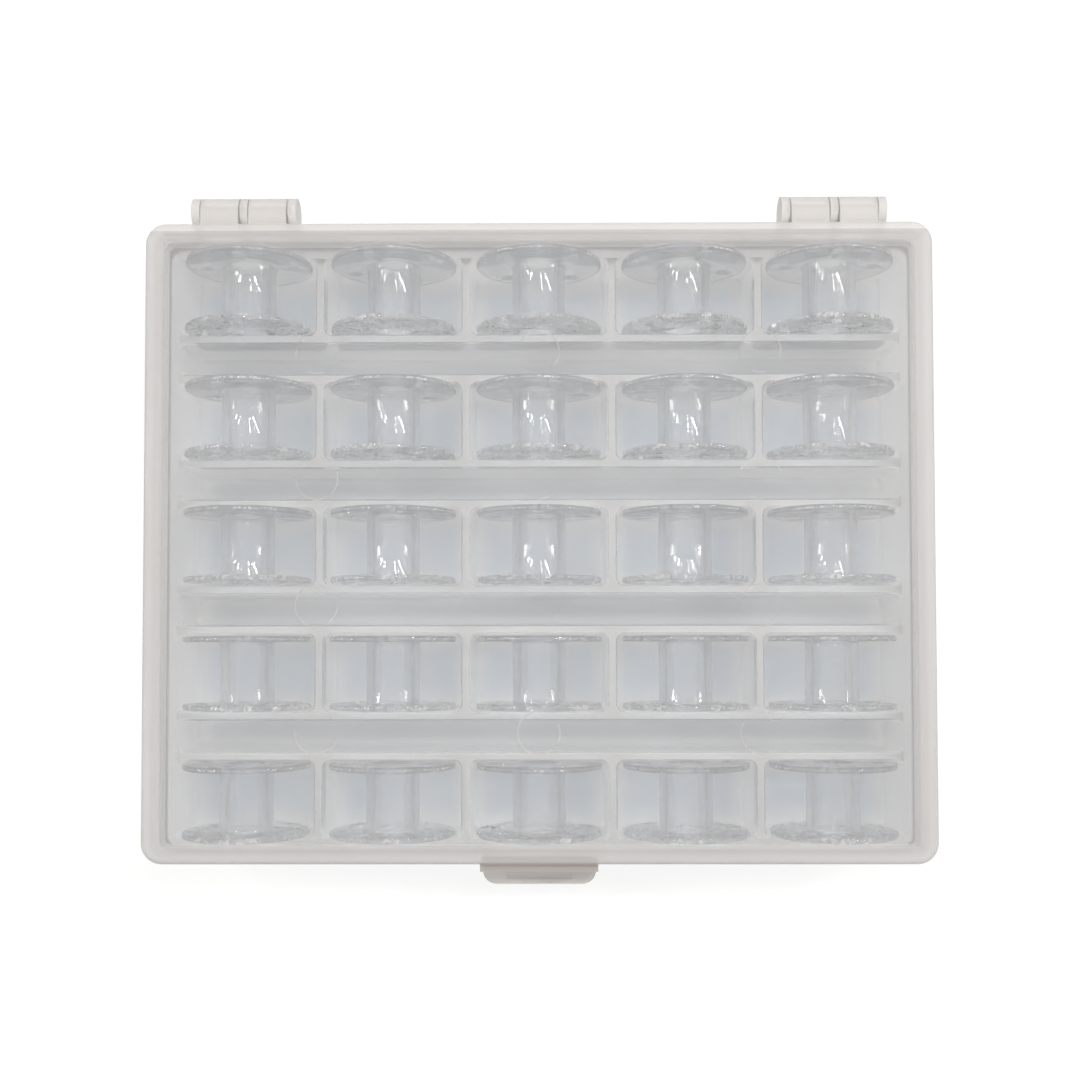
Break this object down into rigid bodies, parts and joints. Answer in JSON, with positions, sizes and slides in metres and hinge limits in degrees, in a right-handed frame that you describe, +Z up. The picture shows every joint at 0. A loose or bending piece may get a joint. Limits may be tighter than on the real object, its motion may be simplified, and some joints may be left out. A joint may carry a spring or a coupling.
{
  "type": "bobbin storage box",
  "caption": "Hinged frosted box with ribbed pockets that hold clear sewing bobbins on edge, closed by a sprung front latch tab.",
  "frame": {"origin": "centre of the tray's flat underside", "axes": "+X along the box's long side, +Y from the latch to the hinges, +Z up through the lid"},
  "size_m": [0.1216, 0.1106, 0.0238],
  "materials": {
    "tray_polypropylene": "natural frosted polypropylene, fine moulded texture",
    "lid_polypropylene": "natural polypropylene, thin and cloudy clear",
    "bobbin_polystyrene": "clear polished polystyrene"
  },
  "bodies": {
    "base_tray": {"base_tray": "tray_polypropylene"},
    "lid": {"lid": "lid_polypropylene"},
    "latch_tab": {"latch_tab": "lid_polypropylene"},
    "bobbin_r1c1": {"bobbin_r1c1": "bobbin_polystyrene"},
    "bobbin_r1c2": {"bobbin_r1c2": "bobbin_polystyrene"},
    "bobbin_r1c3": {"bobbin_r1c3": "bobbin_polystyrene"},
    "bobbin_r1c4": {"bobbin_r1c4": "bobbin_polystyrene"},
    "bobbin_r1c5": {"bobbin_r1c5": "bobbin_polystyrene"},
    "bobbin_r2c1": {"bobbin_r2c1": "bobbin_polystyrene"},
    "bobbin_r2c2": {"bobbin_r2c2": "bobbin_polystyrene"},
    "bobbin_r2c3": {"bobbin_r2c3": "bobbin_polystyrene"},
    "bobbin_r2c4": {"bobbin_r2c4": "bobbin_polystyrene"},
    "bobbin_r2c5": {"bobbin_r2c5": "bobbin_polystyrene"},
    "bobbin_r3c1": {"bobbin_r3c1": "bobbin_polystyrene"},
    "bobbin_r3c2": {"bobbin_r3c2": "bobbin_polystyrene"},
    "bobbin_r3c3": {"bobbin_r3c3": "bobbin_polystyrene"},
    "bobbin_r3c4": {"bobbin_r3c4": "bobbin_polystyrene"},
    "bobbin_r3c5": {"bobbin_r3c5": "bobbin_polystyrene"},
    "bobbin_r4c1": {"bobbin_r4c1": "bobbin_polystyrene"},
    "bobbin_r4c2": {"bobbin_r4c2": "bobbin_polystyrene"},
    "bobbin_r4c3": {"bobbin_r4c3": "bobbin_polystyrene"},
    "bobbin_r4c4": {"bobbin_r4c4": "bobbin_polystyrene"},
    "bobbin_r4c5": {"bobbin_r4c5": "bobbin_polystyrene"},
    "bobbin_r5c1": {"bobbin_r5c1": "bobbin_polystyrene"},
    "bobbin_r5c2": {"bobbin_r5c2": "bobbin_polystyrene"},
    "bobbin_r5c3": {"bobbin_r5c3": "bobbin_polystyrene"},
    "bobbin_r5c4": {"bobbin_r5c4": "bobbin_polystyrene"},
    "bobbin_r5c5": {"bobbin_r5c5": "bobbin_polystyrene"}
  },
  "joints": [
    {"name": "lid_hinge", "type": "hinge", "parent": "base_tray", "child": "lid", "pos_m": [0, 0.05383, 0.0142], "axis": [-1, 0, 0], "range_deg": [0, 180]},
    {"name": "latch_flex", "type": "hinge", "parent": "lid", "child": "latch_tab", "pos_m": [0, -0.0508, 0.0204], "axis": [-1, 0, 0], "range_deg": [0, 8], "stiffness_Nm_per_rad": 0.2},
    {"name": "spin_r1c1", "type": "hinge", "parent": "base_tray", "child": "bobbin_r1c1", "pos_m": [-0.0473, 0.0407, 0.01185], "axis": [0, 1, 0], "continuous": true},
    {"name": "spin_r1c2", "type": "hinge", "parent": "base_tray", "child": "bobbin_r1c2", "pos_m": [-0.02365, 0.0407, 0.01185], "axis": [0, 1, 0], "continuous": true},
    {"name": "spin_r1c3", "type": "hinge", "parent": "base_tray", "child": "bobbin_r1c3", "pos_m": [0, 0.0407, 0.01185], "axis": [0, 1, 0], "continuous": true},
    {"name": "spin_r1c4", "type": "hinge", "parent": "base_tray", "child": "bobbin_r1c4", "pos_m": [0.02365, 0.0407, 0.01185], "axis": [0, 1, 0], "continuous": true},
    {"name": "spin_r1c5", "type": "hinge", "parent": "base_tray", "child": "bobbin_r1c5", "pos_m": [0.0473, 0.0407, 0.01185], "axis": [0, 1, 0], "continuous": true},
    {"name": "spin_r2c1", "type": "hinge", "parent": "base_tray", "child": "bobbin_r2c1", "pos_m": [-0.0473, 0.02035, 0.01185], "axis": [0, 1, 0], "continuous": true},
    {"name": "spin_r2c2", "type": "hinge", "parent": "base_tray", "child": "bobbin_r2c2", "pos_m": [-0.02365, 0.02035, 0.01185], "axis": [0, 1, 0], "continuous": true},
    {"name": "spin_r2c3", "type": "hinge", "parent": "base_tray", "child": "bobbin_r2c3", "pos_m": [0, 0.02035, 0.01185], "axis": [0, 1, 0], "continuous": true},
    {"name": "spin_r2c4", "type": "hinge", "parent": "base_tray", "child": "bobbin_r2c4", "pos_m": [0.02365, 0.02035, 0.01185], "axis": [0, 1, 0], "continuous": true},
    {"name": "spin_r2c5", "type": "hinge", "parent": "base_tray", "child": "bobbin_r2c5", "pos_m": [0.0473, 0.02035, 0.01185], "axis": [0, 1, 0], "continuous": true},
    {"name": "spin_r3c1", "type": "hinge", "parent": "base_tray", "child": "bobbin_r3c1", "pos_m": [-0.0473, 0, 0.01185], "axis": [0, 1, 0], "continuous": true},
    {"name": "spin_r3c2", "type": "hinge", "parent": "base_tray", "child": "bobbin_r3c2", "pos_m": [-0.02365, 0, 0.01185], "axis": [0, 1, 0], "continuous": true},
    {"name": "spin_r3c3", "type": "hinge", "parent": "base_tray", "child": "bobbin_r3c3", "pos_m": [0, 0, 0.01185], "axis": [0, 1, 0], "continuous": true},
    {"name": "spin_r3c4", "type": "hinge", "parent": "base_tray", "child": "bobbin_r3c4", "pos_m": [0.02365, 0, 0.01185], "axis": [0, 1, 0], "continuous": true},
    {"name": "spin_r3c5", "type": "hinge", "parent": "base_tray", "child": "bobbin_r3c5", "pos_m": [0.0473, 0, 0.01185], "axis": [0, 1, 0], "continuous": true},
    {"name": "spin_r4c1", "type": "hinge", "parent": "base_tray", "child": "bobbin_r4c1", "pos_m": [-0.0473, -0.02035, 0.01185], "axis": [0, 1, 0], "continuous": true},
    {"name": "spin_r4c2", "type": "hinge", "parent": "base_tray", "child": "bobbin_r4c2", "pos_m": [-0.02365, -0.02035, 0.01185], "axis": [0, 1, 0], "continuous": true},
    {"name": "spin_r4c3", "type": "hinge", "parent": "base_tray", "child": "bobbin_r4c3", "pos_m": [0, -0.02035, 0.01185], "axis": [0, 1, 0], "continuous": true},
    {"name": "spin_r4c4", "type": "hinge", "parent": "base_tray", "child": "bobbin_r4c4", "pos_m": [0.02365, -0.02035, 0.01185], "axis": [0, 1, 0], "continuous": true},
    {"name": "spin_r4c5", "type": "hinge", "parent": "base_tray", "child": "bobbin_r4c5", "pos_m": [0.0473, -0.02035, 0.01185], "axis": [0, 1, 0], "continuous": true},
    {"name": "spin_r5c1", "type": "hinge", "parent": "base_tray", "child": "bobbin_r5c1", "pos_m": [-0.0473, -0.0407, 0.01185], "axis": [0, 1, 0], "continuous": true},
    {"name": "spin_r5c2", "type": "hinge", "parent": "base_tray", "child": "bobbin_r5c2", "pos_m": [-0.02365, -0.0407, 0.01185], "axis": [0, 1, 0], "continuous": true},
    {"name": "spin_r5c3", "type": "hinge", "parent": "base_tray", "child": "bobbin_r5c3", "pos_m": [0, -0.0407, 0.01185], "axis": [0, 1, 0], "continuous": true},
    {"name": "spin_r5c4", "type": "hinge", "parent": "base_tray", "child": "bobbin_r5c4", "pos_m": [0.02365, -0.0407, 0.01185], "axis": [0, 1, 0], "continuous": true},
    {"name": "spin_r5c5", "type": "hinge", "parent": "base_tray", "child": "bobbin_r5c5", "pos_m": [0.0473, -0.0407, 0.01185], "axis": [0, 1, 0], "continuous": true}
  ]
}
